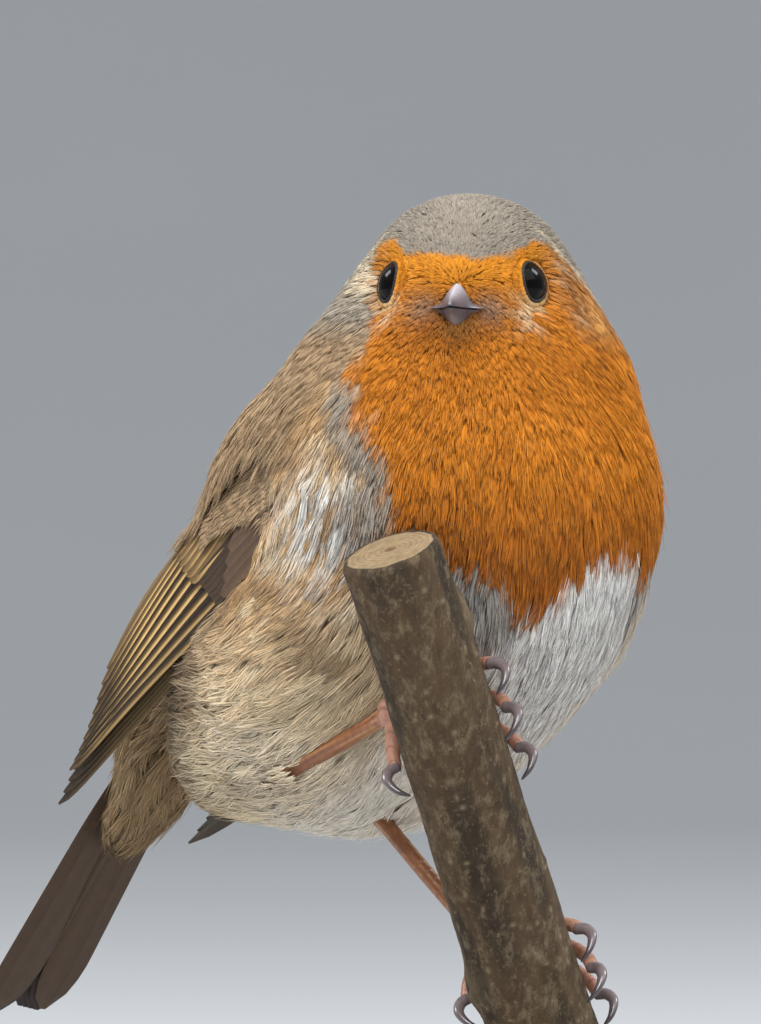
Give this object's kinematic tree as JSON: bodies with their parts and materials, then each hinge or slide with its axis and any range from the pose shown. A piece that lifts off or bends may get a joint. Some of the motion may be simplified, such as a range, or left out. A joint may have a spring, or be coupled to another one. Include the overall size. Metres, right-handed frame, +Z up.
{
  "type": "european robin on perch and stand",
  "caption": "Life-size still model of a European robin gripping a short cut length of stem, head turned to its right, on a plain display stand.",
  "frame": {"origin": "centre of the underside of the stand's base", "axes": "+Z up; the robin's trunk faces -Y and its right side is -X; its head is turned to its right"},
  "size_m": [0.092, 0.1241, 0.1454],
  "materials": {
    "crown": "soft grey-brown plumage",
    "breast": "soft orange plumage",
    "belly": "soft off-white plumage",
    "back": "soft olive-brown plumage",
    "flight_feathers": "smooth dark brown feather with buff edges",
    "bill": "satin grey horn",
    "eye": "wet gloss",
    "leg": "satin scaled skin",
    "claw": "satin horn",
    "bark": "dull weathered bark",
    "stand_brass": "satin",
    "stand_wood": "dark satin lacquer"
  },
  "bodies": {
    "root": {"head": "crown", "neck": "breast", "trunk": "belly", "bill_upper": "bill", "bill_lower": "bill", "eye_right": "eye", "eye_left": "eye", "tail": "flight_feathers", "wing_right_coverts": "back", "wing_right_secondaries": "flight_feathers", "wing_right_primaries": "flight_feathers", "wing_left_coverts": "back", "wing_left_secondaries": "flight_feathers", "wing_left_primaries": "flight_feathers", "shank_right": "leg", "foot_right": "leg", "claw_right_inner": "claw", "claw_right_middle": "claw", "claw_right_outer": "claw", "claw_right_hind": "claw", "shank_left": "leg", "foot_left": "leg", "claw_left_inner": "claw", "claw_left_middle": "claw", "claw_left_outer": "claw", "claw_left_hind": "claw", "perch": "bark", "stand_rod": "stand_brass", "stand_base": "stand_wood"}
  },
  "joints": []
}
